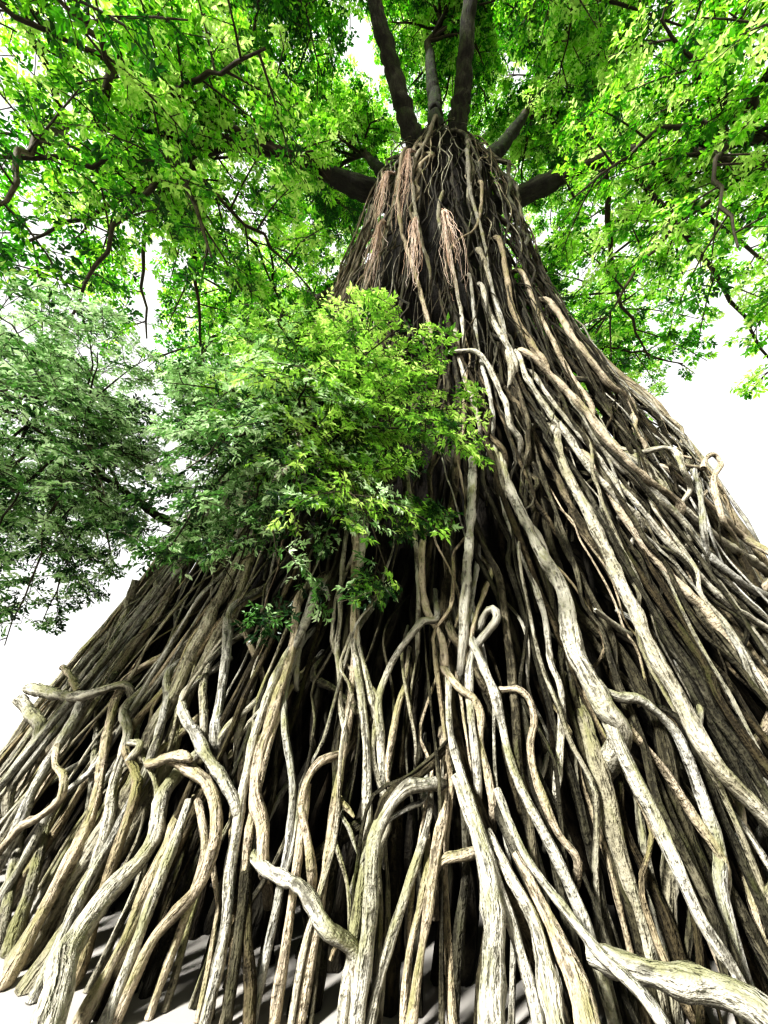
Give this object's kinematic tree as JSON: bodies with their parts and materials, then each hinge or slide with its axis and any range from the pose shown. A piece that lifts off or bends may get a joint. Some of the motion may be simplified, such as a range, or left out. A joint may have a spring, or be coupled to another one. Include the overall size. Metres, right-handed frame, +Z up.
{
  "type": "banyan tree",
  "caption": "Large spreading fig tree: a leaning trunk inside a flared cage of aerial prop roots, open boughs and masses of leaves, fixed at ground level.",
  "frame": {"origin": "middle of the trunk's flat cut at ground level", "axes": "+Z up; -Y towards the side with the low shoots and the most roots; the trunk leans towards +X"},
  "size_m": [24.7899, 18.9741, 30.2371],
  "materials": {
    "trunk_bark": "rough, dark and damp between the roots",
    "bough_bark": "rough, dark grey brown with moss",
    "root_bark": "rough, pale grey tan with lichen and moss",
    "hanging_root": "fibrous reddish brown",
    "crown_leaf": "smooth mid green",
    "shoot_leaf": "smooth bright green"
  },
  "bodies": {
    "root": {"trunk": "trunk_bark", "limb_right": "bough_bark", "limb_back_right": "bough_bark", "limb_back": "bough_bark", "limb_back_left": "bough_bark", "limb_left": "bough_bark", "bough_front_left": "bough_bark", "bough_front_right": "bough_bark", "bough_right": "bough_bark", "bough_back": "bough_bark", "bough_left": "bough_bark", "leader": "bough_bark", "shoot_front": "bough_bark", "shoot_left": "bough_bark", "roots_front": "root_bark", "roots_front_left": "root_bark", "roots_left_foot": "root_bark", "roots_far_left": "root_bark", "roots_front_right": "root_bark", "roots_right_runner": "root_bark", "roots_right_shoulder": "root_bark", "roots_01": "root_bark", "roots_02": "root_bark", "roots_03": "root_bark", "roots_04": "root_bark", "roots_05": "root_bark", "roots_06": "root_bark", "roots_07": "root_bark", "roots_08": "root_bark", "roots_09": "root_bark", "roots_10": "root_bark", "roots_11": "root_bark", "roots_12": "root_bark", "roots_13": "root_bark", "roots_14": "root_bark", "roots_15": "root_bark", "roots_16": "root_bark", "hanging_roots_1": "hanging_root", "hanging_roots_2": "hanging_root", "hanging_roots_3": "hanging_root", "hanging_roots_4": "hanging_root", "hanging_roots_5": "hanging_root", "leaves_limb_right": "crown_leaf", "leaves_limb_back_right": "crown_leaf", "leaves_limb_back": "crown_leaf", "leaves_limb_back_left": "crown_leaf", "leaves_limb_left": "crown_leaf", "leaves_bough_front_left": "crown_leaf", "leaves_bough_front_right": "crown_leaf", "leaves_bough_right": "crown_leaf", "leaves_bough_back": "crown_leaf", "leaves_bough_left": "crown_leaf", "leaves_leader": "crown_leaf", "leaves_shoot_front": "shoot_leaf", "leaves_shoot_left": "shoot_leaf"}
  },
  "joints": []
}
